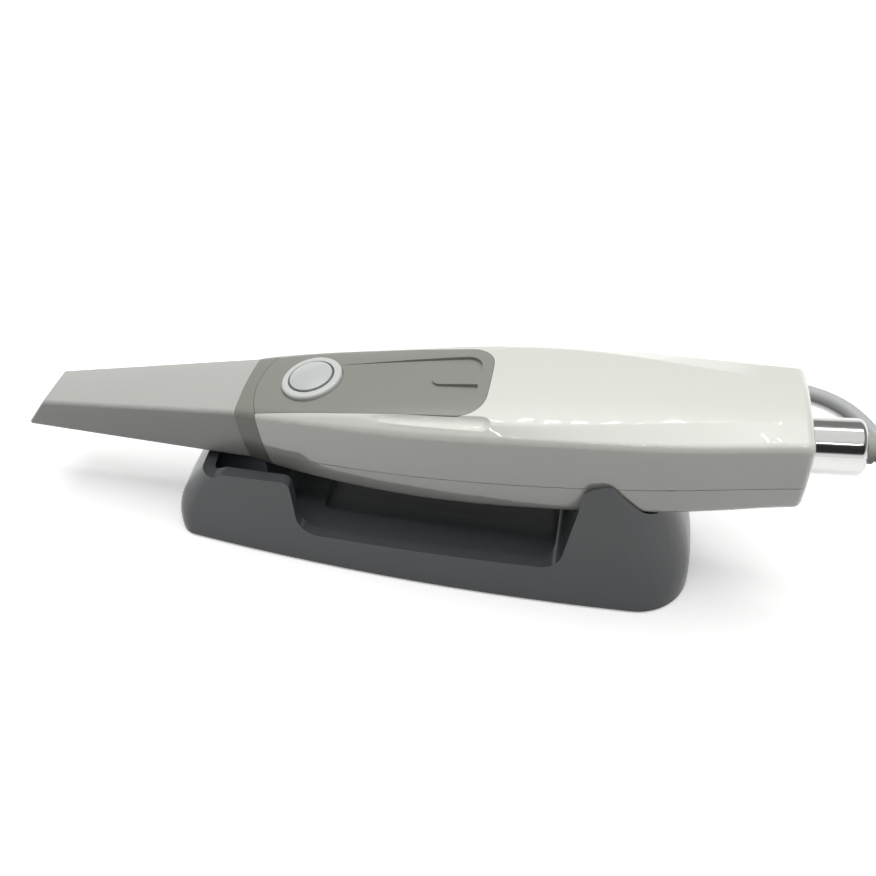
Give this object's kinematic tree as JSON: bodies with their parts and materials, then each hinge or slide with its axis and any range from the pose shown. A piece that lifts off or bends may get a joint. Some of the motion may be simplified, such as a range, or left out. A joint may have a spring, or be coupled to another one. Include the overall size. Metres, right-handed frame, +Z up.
{
  "type": "intraoral scanner",
  "caption": "Wired intraoral scanner with a tapered pull-off tip, inlaid control panel and push button, lying in a boat-shaped desk cradle with its cable tied in a hank.",
  "frame": {"origin": "centre of the cradle's foot pad, on the table", "axes": "+X from the scanning tip towards the cable, +Z up, Y across; the handpiece lies nose down by 7 degrees about Y"},
  "size_m": [0.3262, 0.1025, 0.062],
  "materials": {
    "shell_white": "glossy moulded",
    "panel_grey": "glossy moulded",
    "collar_grey": "satin moulded",
    "tip_grey": "satin moulded",
    "cradle_dark": "satin moulded",
    "pad_dark": "soft",
    "relief_grey": "moulded ribs",
    "cable_grey": "smooth jacket",
    "polished_metal": "polished",
    "cap_silver": "pearl, domed",
    "ring_white": "translucent white",
    "inner_black": "matt",
    "board_green": "solder mask",
    "chip_black": "matt",
    "bare_aluminium": "milled",
    "steel": "plain",
    "clear_glass": "clear",
    "front_mirror": "front-surface mirror"
  },
  "bodies": {
    "cradle_and_handpiece": {"optics_nose": "inner_black", "nose_window": "clear_glass", "tip_seal": "pad_dark", "front_collar": "collar_grey", "upper_shell": "shell_white", "lower_shell": "shell_white", "control_panel": "panel_grey", "button_ring": "ring_white", "tact_switch": "steel", "button_board": "board_green", "camera_barrel": "bare_aluminium", "camera_lens": "clear_glass", "projector_barrel": "bare_aluminium", "projector_lens": "clear_glass", "lens_block": "bare_aluminium", "camera_board": "board_green", "image_sensor": "chip_black", "projector_module": "inner_black", "chassis": "bare_aluminium", "heat_sink": "bare_aluminium", "main_board": "board_green", "chip_1": "chip_black", "chip_2": "chip_black", "chip_3": "chip_black", "board_screw_1": "steel", "board_screw_2": "steel", "board_screw_3": "steel", "board_screw_4": "steel", "cable_socket": "inner_black", "inner_lead": "inner_black", "ferrule_nut": "steel", "cable_ferrule": "polished_metal", "strain_relief": "relief_grey", "cable": "cable_grey", "cable_hank": "cable_grey", "cable_strap": "pad_dark", "cable_tail": "cable_grey", "plug_overmould": "cable_grey", "plug_shell": "steel", "plug_insert": "inner_black", "cradle": "cradle_dark", "front_rest_pad": "pad_dark", "rear_rest_pad": "pad_dark", "cradle_foot_pad": "pad_dark", "cradle_ballast": "steel"},
    "tip": {"scan_tip": "tip_grey", "tip_mirror": "front_mirror"},
    "button": {"button_cap": "cap_silver", "button_trim": "polished_metal", "button_stem": "inner_black"}
  },
  "joints": [
    {"name": "tip_slide", "type": "slide", "parent": "cradle_and_handpiece", "child": "tip", "axis": [-0.9925, 0, -0.1219], "range_m": [0, 0.035]},
    {"name": "button_press", "type": "slide", "parent": "cradle_and_handpiece", "child": "button", "axis": [0.1977, 0, -0.9803], "range_m": [0, 0.0007], "stiffness_N_per_m": 400}
  ]
}
